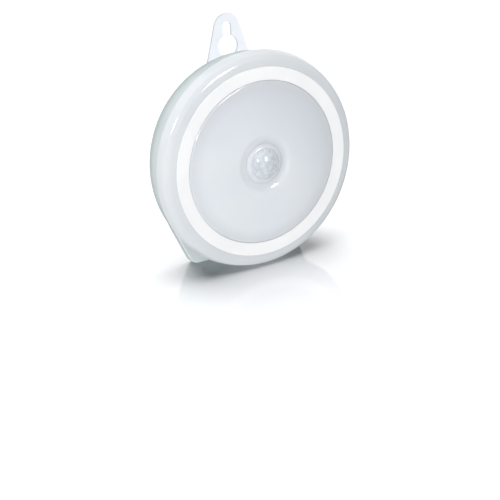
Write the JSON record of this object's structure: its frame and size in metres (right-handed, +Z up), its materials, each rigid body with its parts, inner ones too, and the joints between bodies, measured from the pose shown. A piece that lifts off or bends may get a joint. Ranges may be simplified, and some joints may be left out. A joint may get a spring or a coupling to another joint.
{
  "type": "motion sensor light",
  "caption": "Round battery motion sensor light with a milky disc, a domed sensor lens, a flat standing foot, a battery door and a clear hanging tab that slides out.",
  "frame": {"origin": "middle of the round part of the flat back, on the battery door's outer face", "axes": "+Z up towards the hanger's tip, the light faces -Y, +X to the right seen from the front"},
  "size_m": [0.0912, 0.0304, 0.1041],
  "materials": {
    "shell": "glossy, slightly translucent white moulded plastic with a cool tint",
    "ring": "matt pure white plastic",
    "diffuser": "milky translucent plastic with a soft sheen",
    "clear_lens": "clear glossy plastic",
    "clear_tab": "clear glossy plastic sheet",
    "white_inner": "plain white plastic",
    "board": "green lacquered board",
    "led": "white body with a pale yellow fill",
    "tin": "tin-plated steel",
    "dark_plastic": "fine matt black plastic",
    "photocell": "lacquered ceramic disc",
    "housing": "glossy pale grey plastic with a faint green tint",
    "cell": "plain dark lacquered sleeve, steel ends",
    "spring": "nickel-plated spring wire",
    "steel": "zinc-plated steel"
  },
  "bodies": {
    "root": {"battery_1": "cell", "battery_2": "cell", "battery_3": "cell", "battery_spring_1": "spring", "battery_spring_2": "spring", "battery_spring_3": "spring", "board_screw_1": "steel", "board_screw_2": "steel", "board_screw_3": "steel", "circuit_board": "board", "contact_bridge_1": "tin", "contact_bridge_2": "tin", "contact_negative": "tin", "contact_positive": "tin", "control_chip": "dark_plastic", "diffuser": "diffuser", "front_shell": "shell", "housing_screw_1": "steel", "housing_screw_2": "steel", "housing_screw_3": "steel", "housing_screw_4": "steel", "led_1": "led", "led_2": "led", "led_3": "led", "led_4": "led", "led_5": "led", "led_6": "led", "light_sensor": "photocell", "pir_sensor": "tin", "pir_window": "dark_plastic", "rear_housing": "housing", "reflector": "white_inner", "sensor_collar": "clear_lens", "sensor_lens": "clear_lens", "sensor_shroud": "white_inner", "switch_body": "tin", "timing_capacitor": "tin", "trim_ring": "ring"},
    "hanger": {"hanger": "clear_tab"},
    "battery_door": {"battery_door": "housing"},
    "switch_knob": {"switch_knob": "dark_plastic"}
  },
  "joints": [
    {"name": "hanger_slide", "type": "slide", "parent": "root", "child": "hanger", "axis": [0, 0, -1], "range_m": [0, 0.014]},
    {"name": "door_hinge", "type": "hinge", "parent": "root", "child": "battery_door", "pos_m": [0, 0, 0.01335], "axis": [1, 0, 0], "range_deg": [0, 75]},
    {"name": "switch_slide", "type": "slide", "parent": "root", "child": "switch_knob", "axis": [1, 0, 0], "range_m": [-0.0025, 0.0025]}
  ]
}
